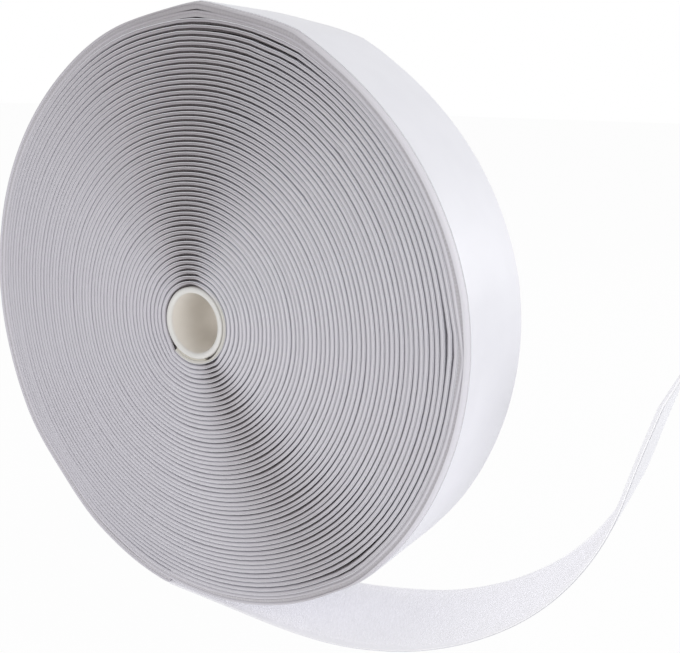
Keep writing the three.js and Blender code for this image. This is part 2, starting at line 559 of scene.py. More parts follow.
def mirrored(half: list[tuple[float, float]]) -> np.ndarray:
    """Closes a half outline, given from back to face, with its own mirror image."""
    return np.array(half + [(-across, inwards) for across, inwards in reversed(half)])


def flat_strip(name: str, along: np.ndarray, outline: np.ndarray) -> bpy.types.Mesh:
    """Makes a flat closed strip: a grid whose short side is rolled up into the outline, with its ends filled.

    Args:
        name: The mesh's name.
        along: Lengths of the strip's cross sections.
        outline: Closed outline of the cross section, as distances across and inwards.

    Returns:
        A mesh whose X is the length along the tape, and whose UV map holds lengths along and round in metres.
    """
    spans, sides = len(along) - 1, len(outline)
    strip = bmesh.new()
    strip.loops.layers.uv.new("UVMap")
    bmesh.ops.create_grid(strip, x_segments=spans, y_segments=sides, size=0.5, calc_uvs=True)
    for vertex in strip.verts:
        across, inwards = outline[round((vertex.co.y + 0.5) * sides) % sides]
        vertex.co = (along[round((vertex.co.x + 0.5) * spans)], across, inwards)
    bmesh.ops.remove_doubles(strip, verts=strip.verts, dist=MERGE_REACH)
    bmesh.ops.holes_fill(strip, edges=strip.edges, sides=sides)
    bmesh.ops.recalc_face_normals(strip, faces=strip.faces)
    mesh = as_mesh(name, strip)
    give_values(mesh, DEPTH, read_points(mesh)[:, 2])
    uv = np.empty(2 * len(mesh.loops))
    mesh.uv_layers[0].data.foreach_get("uv", uv)
    uv = uv.reshape(-1, 2)
    loop = np.vstack([outline, outline[:1]])
    round_it = np.concatenate([[0.0], np.cumsum(np.hypot(*np.diff(loop, axis=0).T))])
    uv[:, 0] = np.interp(uv[:, 0] * spans, np.arange(spans + 1), along)
    uv[:, 1] = np.interp(uv[:, 1] * sides, np.arange(sides + 1), round_it)
    mesh.uv_layers[0].data.foreach_set("uv", uv.ravel())
    return mesh


def finished(name: str, mesh: bpy.types.Mesh, material: bpy.types.Material,
             route: Route | None = None) -> bpy.types.Object:
    """Turns a mesh into a smooth piece of the scene with its finish.

    Args:
        name: The piece's name.
        mesh: Its mesh, in place, or flat where it is still to be laid along a route.
        material: Its finish.
        route: The route, if there is one.

    Returns:
        The piece.
    """
    if route:
        write_points(mesh, route.laid(read_points(mesh)))
    mesh.name = name
    mesh.shade_smooth()
    mesh.set_sharp_from_angle(angle=math.radians(CREASE_ANGLE))
    mesh.materials.clear()
    mesh.materials.append(material)
    piece = bpy.data.objects.new(name, mesh)
    bpy.context.scene.collection.objects.link(piece)
    return piece


def report(piece: bpy.types.Object) -> None:
    """Logs a piece's name and size."""
    triangles = sum(len(face.vertices) - 2 for face in piece.data.polygons)
    log.info("%s: %d triangles", piece.name, triangles)


# Finishes

class Nodes:
    """Adds and links the nodes of one tree."""

    def __init__(self, tree: bpy.types.NodeTree) -> None:
        """Keeps the tree that the nodes go into."""
        self.tree = tree

    def add(self, kind: str, **settings: object) -> bpy.types.Node:
        """Adds a node.

        Args:
            kind: The node's type name.
            settings: Properties to set on it.

        Returns:
            The node.
        """
        node = self.tree.nodes.new(kind)
        for key, value in settings.items():
            setattr(node, key, value)
        return node

    def put(self, socket: Socket, value: object) -> None:
        """Links a socket into another, or sets its value."""
        if isinstance(value, Socket):
            self.tree.links.new(value, socket)
        else:
            socket.default_value = value

    def math(self, operation: str, *values: object, clamp: bool = False) -> Socket:
        """Adds a Math node.

        Args:
            operation: What it does.
            values: Its inputs, sockets or numbers.
            clamp: Whether its result stays from 0 to 1.

        Returns:
            Its result.
        """
        node = self.add("ShaderNodeMath", operation=operation, use_clamp=clamp)
        for socket, value in zip(node.inputs, values):
            self.put(socket, value)
        return node.outputs[0]

    def blend(self, factor: object, first: object, second: object) -> Socket:
        """Mixes two colours.

        Args:
            factor: The second colour's share.
            first: The first colour.
            second: The second one.

        Returns:
            The mixed colour.
        """
        node = self.add("ShaderNodeMix", data_type="RGBA")
        self.put(node.inputs[0], factor)
        self.put(node.inputs[6], first)
        self.put(node.inputs[7], second)
        return node.outputs[2]

    def step(self, value: object, low: float, high: float) -> Socket:
        """Goes smoothly from 0 at one value to 1 at another.

        Args:
            value: The value to read.
            low: Where the result is 0.
            high: Where it is 1.

        Returns:
            The result.
        """
        node = self.add("ShaderNodeMapRange", interpolation_type="SMOOTHSTEP")
        self.put(node.inputs["Value"], value)
        self.put(node.inputs["From Min"], low)
        self.put(node.inputs["From Max"], high)
        return node.outputs["Result"]

    def part(self, vector: Socket, axis: int) -> Socket:
        """Reads one part of a vector: 0, 1 or 2."""
        split = self.add("ShaderNodeSeparateXYZ")
        self.put(split.inputs[0], vector)
        return split.outputs[axis]

    def attribute(self, name: str) -> Socket:
        """Reads a value that each point of the mesh holds."""
        return self.add("ShaderNodeAttribute", attribute_name=name).outputs["Fac"]

    def seen(self, shown: float, others: float) -> Socket:
        """Chooses a value by the kind of ray.

        Args:
            shown: The value for the camera's rays and for those of clear reflections and glass.
            others: The value for all other rays.

        Returns:
            The value.
        """
        path = self.add("ShaderNodeLightPath")
        clear = self.math("MAXIMUM", path.outputs["Is Camera Ray"], path.outputs["Is Glossy Ray"])
        clear = self.math("MAXIMUM", clear, path.outputs["Is Transmission Ray"])
        return self.math("MULTIPLY_ADD", clear, shown - others, others)

    def use(self, group: bpy.types.NodeTree, **values: object) -> bpy.types.Node:
        """Places a node group.

        Args:
            group: The group.
            values: Its inputs by name, with an underscore for a space.

        Returns:
            The group's node.
        """
        node = self.add("ShaderNodeGroup", node_tree=group)
        for key, value in values.items():
            self.put(node.inputs[key.replace("_", " ")], value)
        return node


def new_group(name: str, inputs: dict, outputs: list[str]) -> tuple[Nodes, dict, dict]:
    """Starts a node group with named sockets.

    Args:
        name: The group's name.
        inputs: Socket types and default values by name.
        outputs: Names of the values that it puts out.

    Returns:
        The group's nodes, its inputs and its outputs by name.
    """
    tree = bpy.data.node_groups.new(name, "ShaderNodeTree")
    for key, (kind, default) in inputs.items():
        socket = tree.interface.new_socket(key, in_out="INPUT", socket_type=kind)
        if default is not None:
            socket.default_value = default
    for key in outputs:
        tree.interface.new_socket(key, in_out="OUTPUT", socket_type="NodeSocketFloat")
    nodes = Nodes(tree)
    entry, leave = nodes.add("NodeGroupInput"), nodes.add("NodeGroupOutput")
    return nodes, dict(entry.outputs.items()), dict(leave.inputs.items())


def grain_group() -> bpy.types.NodeTree:
    """Fine and broad unevenness of a surface.

    Returns:
        A group with the inputs Place and Scale, and the outputs Fine and Broad, both from 0 to 1.
    """
    nodes, given, wanted = new_group(
        "surface_grain",
        {"Place": ("NodeSocketVector", None), "Scale": ("NodeSocketFloat", 1000.0)},
        ["Fine", "Broad"],
    )
    for key, share, detail in (("Fine", 1.0, 3.0), ("Broad", 0.06, 2.0)):
        noise = nodes.add("ShaderNodeTexNoise")
        nodes.put(noise.inputs["Vector"], given["Place"])
        nodes.put(noise.inputs["Scale"], nodes.math("MULTIPLY", given["Scale"], share))
        noise.inputs["Detail"].default_value = detail
        nodes.put(wanted[key], noise.outputs["Fac"])
    return nodes.tree


def weave_group() -> bpy.types.NodeTree:
    """A plain weave of threads that run along and round a strip.

    Returns:
        A group with the inputs Place, Along and Across, the thread pitches in metres, and the output Height.
    """
    nodes, given, wanted = new_group(
        "plain_weave",
        {
            "Place": ("NodeSocketVector", None),
            "Along": ("NodeSocketFloat", 0.45 * MM),
            "Across": ("NodeSocketFloat", 0.35 * MM),
        },
        ["Height"],
    )
    waves = []
    for axis, key in ((0, "Along"), (1, "Across")):
        turns = nodes.math("DIVIDE", nodes.part(given["Place"], axis), given[key])
        waves.append(nodes.math("SINE", nodes.math("MULTIPLY", turns, math.pi)))
    crossed = nodes.math("MULTIPLY", *waves)
    nodes.put(wanted["Height"], nodes.math("MULTIPLY_ADD", crossed, 0.5, 0.5))
    return nodes.tree


@dataclass(frozen=True)
class Finish:
    """What every finish has: a colour, how much it varies, how rough it is, and the size of its grain.

    Glow stands for the light that comes through thin tape from behind.
    """

    COAT_ROUGHNESS = 0.3
    SPECULAR = 0.35
    ROUGHNESS_RANGE = 0.16
    FULL_SHADE_SHARE = 0.75

    name: str
    colour: tuple[float, float, float]
    shaded: tuple[float, float, float]
    roughness: float
    grain_scale: float
    grain_depth: float
    coat: float = 0.0
    glow: float = 0.0

    def material(self, groups: dict[str, bpy.types.NodeTree]) -> bpy.types.Material:
        """Builds the material.

        Args:
            groups: The shared node groups by name.

        Returns:
            The material.
        """
        material = bpy.data.materials.new(self.name)
        material.use_nodes = True
        nodes = Nodes(material.node_tree)
        shader = material.node_tree.nodes["Principled BSDF"]
        shader.inputs["Coat Weight"].default_value = self.coat
        shader.inputs["Coat Roughness"].default_value = self.COAT_ROUGHNESS
        shader.inputs["Emission Color"].default_value = (*self.colour, 1.0)
        shader.inputs["Emission Strength"].default_value = self.glow
        shader.inputs["Specular IOR Level"].default_value = self.SPECULAR
        source = nodes.add("ShaderNodeTexCoord")
        grain = nodes.use(groups["grain"], Place=source.outputs["Object"], Scale=self.grain_scale)
        smoothest = self.roughness - self.ROUGHNESS_RANGE / 2
        roughness = nodes.math("MULTIPLY_ADD", grain.outputs["Fine"], self.ROUGHNESS_RANGE, smoothest)
        nodes.put(shader.inputs["Roughness"], roughness)
        colour, height = self.surface(nodes, {
            "uv": source.outputs["UV"],
            "place": source.outputs["Object"],
            "fine": grain.outputs["Fine"],
            "broad": grain.outputs["Broad"],
            "main": (*self.colour, 1.0),
            "shaded": (*self.shaded, 1.0),
            "weave": groups["weave"],
        })
        nodes.put(shader.inputs["Base Color"], colour)
        bump = nodes.add("ShaderNodeBump")
        bump.inputs["Distance"].default_value = self.grain_depth
        bump.inputs["Strength"].default_value = 1.0
        nodes.put(bump.inputs["Height"], height)
        nodes.put(shader.inputs["Normal"], bump.outputs["Normal"])
        return material

    def darkened(self, nodes: Nodes, colour: Socket, dark: tuple) -> Socket:
        """Darkens a colour where the turns lie in each other's shade.

        Args:
            nodes: The material's nodes.
            colour: The colour in full light.
            dark: The colour that full shade nearly reaches.

        Returns:
            The darkened colour.
        """
        share = nodes.math("MULTIPLY", nodes.math("SQRT", nodes.attribute(SHADE)), self.FULL_SHADE_SHARE)
        return nodes.blend(share, colour, (*dark, 1.0))


class PlainFinish(Finish):
    """A finish whose colour varies with its grain alone."""

    def surface(self, nodes: Nodes, read: dict) -> tuple[Socket, Socket]:
        """Makes the colour and the relief.

        Args:
            nodes: The material's nodes.
            read: The surface's sockets, colours and weave by name.

        Returns:
            The colour and the height.
        """
        mottle = nodes.step(read["broad"], 0.35, 0.75)
        height = nodes.math("ADD", read["fine"], nodes.math("MULTIPLY", read["broad"], 3.0))
        return nodes.blend(mottle, read["main"], read["shaded"]), height


@dataclass(frozen=True)
class WovenFinish(Finish):
    """The tape's woven ground: threads and a cream start, with painted shade that greys it towards the hooks,
    at its back and where the turns shade each other.
    """

    shadow_reach: tuple[float, float] = (0.6 * MM, 1.4 * MM)
    painted_back_shade: tuple[float, float, float] = (0.57, 0.555, 0.60)
    painted_back_shade_reach: tuple[float, float] = (0.45 * MM, 0.31 * MM)
    stain_reach: tuple[float, float] = (62.0 * MM, 48.0 * MM)
    stain: tuple[float, float, float] = (0.66, 0.64, 0.58)
    dark: tuple[float, float, float] = (0.34, 0.31, 0.325)
    thread_share: float = 0.08
    broad_share: float = 0.2
    stain_share: float = 0.8

    def surface(self, nodes: Nodes, read: dict) -> tuple[Socket, Socket]:
        """Makes the colour and the relief.

        Args:
            nodes: The material's nodes.
            read: The surface's sockets, colours and weave by name.

        Returns:
            The colour and the height.
        """
        weave = nodes.use(read["weave"], Place=read["uv"])
        inwards = nodes.attribute(DEPTH)
        # Painted shade: greyer deeper towards the hooks, in the gaps between the turns
        shadow = nodes.step(inwards, *self.shadow_reach)
        share = self.thread_share
        threads = nodes.math("MULTIPLY_ADD", weave.outputs["Height"], -share, share / 2)
        varied = nodes.math("MULTIPLY_ADD", read["broad"], self.broad_share, threads)
        colour = nodes.blend(nodes.math("ADD", varied, shadow, clamp=True), read["main"], read["shaded"])
        # Painted shade on the ground's back, beside the adhesive
        behind = nodes.step(inwards, *self.painted_back_shade_reach)
        colour = self.darkened(nodes, nodes.blend(behind, colour, (*self.painted_back_shade, 1.0)), self.dark)
        glued = nodes.step(nodes.part(read["uv"], 0), *self.stain_reach)
        glued = nodes.math("MULTIPLY", glued, self.stain_share)
        height = nodes.math("ADD", weave.outputs["Height"], read["fine"])
        return nodes.blend(glued, colour, (*self.stain, 1.0)), height


@dataclass(frozen=True)
class PackedHookFinish(Finish):
    """Hooks pressed between the turns: rows seen end-on as ticks, in greys far darker than the hooks' nylon,
    which are painted shade of the gaps between the turns.
    """

    dark: tuple[float, float, float] = (0.26, 0.23, 0.235)
    row_pitch: float = 1.55 * MM

    def surface(self, nodes: Nodes, read: dict) -> tuple[Socket, Socket]:
        """Makes the colour and the relief.

        Args:
            nodes: The material's nodes.
            read: The surface's sockets, colours and weave by name.

        Returns:
            The colour and the height.
        """
        rows = nodes.math("MULTIPLY", nodes.part(read["uv"], 0), TAU / self.row_pitch)
        ticks = nodes.math("MULTIPLY_ADD", nodes.math("SINE", rows), 0.5, 0.5)
        mottle = nodes.math("MULTIPLY", nodes.step(read["fine"], 0.35, 0.65), ticks)
        return self.darkened(nodes, nodes.blend(mottle, read["shaded"], read["main"]), self.dark), mottle


class CoreFinish(Finish):
    """Moulded plastic: cooler at its ends, with painted light that makes it paler and warmer down the bore."""

    MIDDLE_REACH = (24.8 * MM, 22.5 * MM)

    def surface(self, nodes: Nodes, read: dict) -> tuple[Socket, Socket]:
        """Makes the colour and the relief.

        Args:
            nodes: The material's nodes.
            read: The surface's sockets, colours and weave by name.

        Returns:
            The colour and the height.
        """
        # Painted light: paler and warmer in the middle of the tube, down the bore
        middle = nodes.step(nodes.math("ABSOLUTE", nodes.part(read["place"], 1)), *self.MIDDLE_REACH)
        height = nodes.math("ADD", read["fine"], read["broad"])
        return nodes.blend(middle, read["main"], read["shaded"]), height


FINISHES = {
    "liner": PlainFinish(
        "liner_film", (0.81, 0.81, 0.86), (0.79, 0.79, 0.84), 0.42, 900.0, 0.01 * MM, coat=0.15,
    ),
    # Painted shade: the wound turns' woven nylon is a darker, greyer copy of the loose end's
    "wound_ground": WovenFinish(
        "woven_nylon", (0.725, 0.71, 0.755), (0.64, 0.62, 0.67), 0.45, 2400.0, 0.006 * MM,
    ),
    "outer_ground": WovenFinish(
        "outer_woven_nylon", (0.76, 0.745, 0.79), (0.67, 0.65, 0.70), 0.45, 2400.0, 0.006 * MM,
        painted_back_shade=(0.74, 0.725, 0.775),
    ),
    "loose_ground": PlainFinish(
        "loose_woven_nylon", (0.90, 0.895, 0.92), (0.88, 0.875, 0.90), 0.62, 2400.0, 0.02 * MM, glow=0.20,
    ),
    "hooks": PlainFinish(
        "hook_nylon", (0.86, 0.855, 0.88), (0.84, 0.835, 0.86), 0.65, 1800.0, 0.01 * MM, glow=0.20,
    ),
    # Painted shade: the hooks pressed between the turns are greys far darker than the loose hooks' white nylon
    "wound_packed": PackedHookFinish(
        "packed_hooks", (0.42, 0.385, 0.39), (0.17, 0.15, 0.15), 0.6, 2200.0, 0.10 * MM,
    ),
    "outer_packed": PackedHookFinish(
        "outer_packed_hooks", (0.70, 0.685, 0.72), (0.62, 0.60, 0.63), 0.6, 2200.0, 0.02 * MM,
        dark=(0.40, 0.375, 0.39),
    ),
    "adhesive": PlainFinish(
        "tape_adhesive", (0.90, 0.895, 0.91), (0.87, 0.865, 0.88), 0.35, 1500.0, 0.01 * MM,
    ),
    "glue": PlainFinish("strip_adhesive", (0.80, 0.77, 0.70), (0.70, 0.66, 0.58), 0.4, 1500.0, 0.02 * MM),
    "core": CoreFinish("core_plastic", (0.80, 0.79, 0.77), (0.85, 0.81, 0.755), 0.5, 700.0, 0.02 * MM),
}


def make_finishes() -> dict[str, bpy.types.Material]:
    """Builds the shared groups and every material, by finish name."""
    groups = {"grain": grain_group(), "weave": weave_group()}
    return {name: finish.material(groups) for name, finish in FINISHES.items()}


# Pieces of the roll

@dataclass(frozen=True)
class Core:
    """The short tube that the tape is wound on, with the glue that holds the tape's start."""

    axis_height: float
    radius: float
    wall: float
    length: float
    finishes: dict
    edge_round: float = 1.35 * MM
    sides: int = 128
    glue_thickness: float = 0.9 * MM
    glue_width: float = 48.4 * MM
    glue_angles: tuple[float, float] = (-129.0, -68.0)
    glue_steps: int = 12

    def tube(self) -> bpy.types.Object:
        """Spins the wall's outline into the tube.

        Returns:
            The tube as a piece.
        """
        end, edge = self.length / 2, self.edge_round
        bore = self.radius - self.wall
        tube = bmesh.new()
        corners = [(bore, -end), (self.radius, -end), (self.radius, end), (bore, end)]
        ring = [tube.verts.new((radius, y, 0.0)) for radius, y in corners]
        for start, stop in zip(ring, ring[1:] + ring[:1]):
            tube.edges.new((start, stop))
        bmesh.ops.bevel(
            tube, geom=tube.verts[:], offset=edge, offset_type="OFFSET", segments=4, profile=0.5,
            affect="VERTICES", material=-1,
        )
        bmesh.ops.spin(
            tube, geom=tube.verts[:] + tube.edges[:], cent=(0, 0, 0), axis=(0, 1, 0), angle=TAU,
            steps=self.sides, use_merge=True, use_duplicate=False,
        )
        bmesh.ops.remove_doubles(tube, verts=tube.verts, dist=0.001 * MM)
        bmesh.ops.recalc_face_normals(tube, faces=tube.faces)
        bmesh.ops.translate(tube, verts=tube.verts, vec=(0, 0, self.axis_height))
        return finished("core_body", as_mesh("core_body", tube), self.finishes["core"])

    def glue(self) -> bpy.types.Object:
        """Lays the strip of glue on the core.

        Returns:
            The glue as a piece.
        """
        angles = np.radians(np.linspace(*self.glue_angles, self.glue_steps + 1))
        out = np.column_stack([np.cos(angles), np.sin(angles)])
        outside = self.radius + self.glue_thickness
        places = out * outside + np.array([0.0, self.axis_height])
        along = (angles - angles[0]) * outside
        still = np.zeros(len(along))
        route = Route(along, places, out, still, still, still, still, still)
        half = self.glue_width / 2
        face = self.glue_thickness
        edge = face / 3
        outline = mirrored([(half - edge, 0.0), (half, edge), (half, face - edge), (half - edge, face)])
        return finished("core_glue", flat_strip("core_glue", along, outline), self.finishes["glue"], route)

    def build(self) -> None:
        """Builds both pieces and ties them to the roll."""
        for piece, node, slot in ((self.tube(), "core_tube", "core_plastic"),
                                  (self.glue(), "core_start_strip", "strip_adhesive")):
            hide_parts(node)
            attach(piece, "roll")
            report(piece)


@dataclass(frozen=True)
class TapeSections:
    """Cross sections of the tape's layers, with points at the distances across where they can curl.

    Bare is how much of the front selvedge the adhesive and the liner leave free.
    """

    tape: TapeSizes
    bends: tuple[float, ...] = ()
    bare: float = 0.0

    def slab(self, half_width: float, back: float, face: float) -> np.ndarray:
        """A plain flat layer, which stops short of the bare selvedge."""
        bends = [across for across in self.bends if across < half_width - BEND_MARGIN]
        low = [(across, back) for across in bends]
        high = [(across, face) for across in reversed(bends)]
        outline = mirrored([*low, (half_width, back), (half_width, face), *high])
        outline[:, 0] = np.maximum(outline[:, 0], self.bare - self.tape.width / 2)
        return outline

    def liner(self) -> np.ndarray:
        """The liner, a little narrower than the tape."""
        return self.slab(self.tape.width / 2 - self.tape.liner_inset, 0.0, self.tape.liner)

    def adhesive(self) -> np.ndarray:
        """The adhesive, set in from the tape's edges."""
        half = self.tape.width / 2 - self.tape.adhesive_inset
        return self.slab(half, self.tape.adhesive_back, self.tape.ground_back)

    def ground(self, swell: float) -> np.ndarray:
        """The woven ground, whose round edge slopes off into a thicker selvedge on the hook side.

        Args:
            swell: How far the selvedge stands above the ground's face.

        Returns:
            The outline.
        """
        tape = self.tape
        half, face = tape.width / 2, tape.ground_face
        back, top = tape.ground_back, face + swell
        edge = []
        for turn in np.radians(np.linspace(-90.0, 90.0, 7)):
            share = (1.0 + math.sin(turn)) / 2
            across = half - tape.selvedge_round * (1.0 - math.cos(turn))
            across -= tape.selvedge_slope * (1.0 - share) ** 2
            edge.append((across, back + share * (top - back)))
        low = [(across, back) for across in self.bends]
        inner = half - tape.selvedge
        high = [(across, face) for across in reversed(self.bends) if across < inner - BEND_MARGIN]
        return mirrored([*low, *edge, (inner + swell, top), (inner, face), *high])

    def packed_hooks(self, pitch: float) -> np.ndarray:
        """The hooks pressed between two turns."""
        half = self.tape.width / 2 - self.tape.packed_depth
        base = self.tape.ground_face - self.tape.packed_sink
        return mirrored([(half, base), (half, pitch + self.tape.packed_reach)])


@dataclass(frozen=True)
class Winding:
    """The wound turns: four layers that follow one line from the core to the rim."""

    tape: TapeSizes
    line: WoundLine
    finishes: dict

    BENDS = (19.0 * MM, 20.5 * MM, 22.0 * MM, 23.5 * MM)
    BARE = 3.2 * MM

    def build(self) -> Route:
        """Builds the layers of the inner and the outer turns.

        Returns:
            The line of the outer turns.
        """
        inner, outer = self.line.route(outer=False), self.line.route(outer=True)
        self.turns("wound", inner, TapeSections(self.tape), ["wound_tape"])
        outer_tape = replace(self.tape, packed_depth=0.7 * MM, packed_reach=0.8 * MM)
        self.turns("outer", outer, TapeSections(outer_tape, self.BENDS, self.BARE), [])
        return outer

    def turns(self, prefix: str, route: Route, sections: TapeSections, nodes: list[str]) -> None:
        """Builds one run of turns and ties its layers to the roll.

        Args:
            prefix: The start of its pieces' names.
            route: The line of the liner's back.
            sections: The cross sections.
            nodes: The CAD nodes that it stands for, or none for the outer turn's own node of each layer.
        """
        layers = (
            ("ground", Layer.GROUND, f"{prefix}_ground", sections.ground(self.tape.selvedge_swell)),
            ("hooks", Layer.HOOKS, f"{prefix}_packed", sections.packed_hooks(self.line.pitch)),
            ("adhesive", Layer.ADHESIVE, "adhesive", sections.adhesive()),
            ("liner", Layer.LINER, "liner", sections.liner()),
        )
        for word, layer, finish, outline in layers:
            name = f"{prefix}_{word}"
            mesh = flat_strip(name, route.along, outline)
            points = read_points(mesh)
            give_values(mesh, SHADE, np.interp(points[:, 0], route.along, route.shade))
            if layer is Layer.GROUND:
                points = route.loosened(points, self.tape.ground_face, self.tape.slack_narrowing)
            write_points(mesh, route.laid(points))
            piece = finished(name, mesh, self.finishes[finish])
            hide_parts(*(nodes or [f"outer_turn_{word}"]))
            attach(piece, "roll")
            report(piece)


@dataclass(frozen=True)
class HookField:
    """Bent hooks cut from monofilament, in rows that lean to and fro."""

    wire: float = 0.1 * MM
    stem: float = 0.96 * MM
    bend: float = 0.22 * MM
    bend_angle: float = 165.0
    along_pitch: float = 2.4 * MM
    across_pitch: float = 1.25 * MM
    bend_steps: int = 3
    wire_sides: int = 3

    def hook(self) -> bmesh.types.BMesh:
        """Makes one hook that leans to +X, standing on the origin.

        Returns:
            The hook.
        """
        hook = bmesh.new()
        bmesh.ops.create_circle(hook, cap_ends=False, segments=self.wire_sides, radius=self.wire)
        drawn = bmesh.ops.extrude_edge_only(hook, edges=hook.edges[:])["geom"]
        tops = [part for part in drawn if isinstance(part, bmesh.types.BMVert)]
        bmesh.ops.translate(hook, verts=tops, vec=(0, 0, self.stem))
        rims = [part for part in drawn if isinstance(part, bmesh.types.BMEdge) and
                all(vertex in tops for vertex in part.verts)]
        bmesh.ops.spin(
            hook, geom=tops + rims, cent=(self.bend, 0, self.stem), axis=(0, 1, 0),
            angle=math.radians(self.bend_angle), steps=self.bend_steps, use_merge=False, use_duplicate=False,
        )
        bmesh.ops.holes_fill(hook, edges=hook.edges[:], sides=self.wire_sides)
        bmesh.ops.recalc_face_normals(hook, faces=hook.faces[:])
        return hook

    def cell(self) -> bpy.types.Mesh:
        """Sets two hooks beside each other that lean opposite ways.

        Returns:
            The pair as a mesh.
        """
        pair = self.hook()
        copied = bmesh.ops.duplicate(pair, geom=pair.verts[:] + pair.edges[:] + pair.faces[:])["geom"]
        moved = [part for part in copied if isinstance(part, bmesh.types.BMVert)]
        bmesh.ops.rotate(pair, verts=moved, cent=(0, 0, 0), matrix=Matrix.Rotation(math.pi, 3, "Z"))
        bmesh.ops.translate(pair, verts=moved, vec=(self.along_pitch / 2, self.across_pitch / 2, 0))
        return as_mesh("hook_pair", pair)

    def field(self, name: str, start: float, end: float, half_width: float, base: float) -> bpy.types.Mesh:
        """Fills a flat stretch of tape with hooks.

        Args:
            name: The mesh's name.
            start: Where the stretch starts along the tape.
            end: Where it ends.
            half_width: Half of the width that holds hooks.
            base: How far inwards the hooks stand.

        Returns:
            A flat mesh, with its lengths along X.
        """
        pair = bpy.data.objects.new(name, self.cell())
        bpy.context.scene.collection.objects.link(pair)
        rows = int((end - start - 2 * self.bend) / self.along_pitch)
        columns = int(2 * half_width / self.across_pitch)
        for count, offset in ((rows, (self.along_pitch, 0, 0)), (columns, (0, self.across_pitch, 0))):
            array = pair.modifiers.new("rows", "ARRAY")
            array.count = count
            array.use_relative_offset = False
            array.use_constant_offset = True
            array.constant_offset_displace = offset
        evaluated = pair.evaluated_get(bpy.context.evaluated_depsgraph_get())
        mesh = bpy.data.meshes.new_from_object(evaluated)
        flat = pair.data
        bpy.data.objects.remove(pair)
        bpy.data.meshes.remove(flat)
        across = -(columns - 0.5) * self.across_pitch / 2
        mesh.transform(Matrix.Translation((start + self.bend, across, base)))
        return mesh


@dataclass(frozen=True)
class LooseEnd:
    """The tape past the roll, in stretches that meet in the middle of its lower part."""

    tape: TapeSizes
    finishes: dict
    lower_hinge: Vector
    upper_hinge: Vector
    peel_hinge: Vector
    flex_reach: float = 12.0 * MM
    peel_reach: float = 15.0 * MM
    hook_sink: float = 0.04 * MM
    selvedge_swell: float = 0.1 * MM

    def nearest(self, route: Route, place: Vector) -> float:
        """The length along the route that is nearest to a place."""
        away = np.hypot(route.places[:, 0] - place.x, route.places[:, 1] - place.z)
        return float(route.along[int(np.argmin(away))])

    def heading(self, route: Route, length: float) -> Vector:
        """The tape's direction at a length along the route.

        Args:
            route: The loose end's line.
            length: The length along the tape.

        Returns:
            A unit vector.
        """
        out_x = float(np.interp(length, route.along, route.outwards[:, 0]))
        out_z = float(np.interp(length, route.along, route.outwards[:, 1]))
        return Vector((-out_z, 0.0, out_x)).normalized()

    def tie(self, piece: bpy.types.Object, nodes: list[str]) -> None:
        """Hides the CAD nodes that a stretch stands for, bakes its place into its mesh and logs its size.

        Args:
            piece: The stretch.
            nodes: The CAD nodes that it stands for.
        """
        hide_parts(*nodes)
        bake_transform(piece)
        report(piece)

    def build(self, route: Route) -> None:
        """Builds every stretch along the route.

        Args:
            route: The line of the liner's back.
        """
        sections = TapeSections(self.tape)
        lower, upper = self.nearest(route, self.lower_hinge), self.nearest(route, self.upper_hinge)
        peel = self.nearest(route, self.peel_hinge)
        seam, tip = (lower + upper) / 2, float(route.along[-1])
        stretches = (
            ("foot", 0.0, seam, ("roll", "lower_end"), self.lower_hinge, lower, ("resting", "lower_end")),
            ("curl", seam, tip, ("lower_end", "upper_end"), self.upper_hinge, upper, ("upper_end",)),
        )
        outlines = {
            Layer.LINER: ("liner", "liner", sections.liner()),
            Layer.ADHESIVE: ("adhesive", "adhesive", sections.adhesive()),
            Layer.GROUND: ("ground", "loose_ground", sections.ground(self.selvedge_swell)),
        }
        half_hooks = self.tape.width / 2 - self.tape.selvedge
        base = self.tape.ground_face - self.hook_sink
        for place, start, end, bodies, hinge, middle, prefixes in stretches:
            for layer, (word, finish, outline) in outlines.items():
                stop = peel if layer is Layer.LINER and place == "curl" else end
                mesh = flat_strip(f"{place}_{word}", route.between(start, stop), outline)
                piece = finished(f"{place}_{word}", mesh, self.finishes[finish], route)
                nodes = [f"{prefix}_{word}" for prefix in prefixes]
                self.tie(piece, nodes)
            mesh = HookField().field(f"{place}_hooks", start, end, half_hooks, base)
            piece = finished(f"{place}_hooks", mesh, self.finishes["hooks"], route)
            nodes = [f"{prefix}_hooks" for prefix in prefixes]
            self.tie(piece, nodes)
        mesh = flat_strip("liner_tab", route.between(peel, tip), sections.liner())
        tab = finished("liner_tab", mesh, self.finishes["liner"], route)
        self.tie(tab, ["liner_peel_tab"])


# Studio

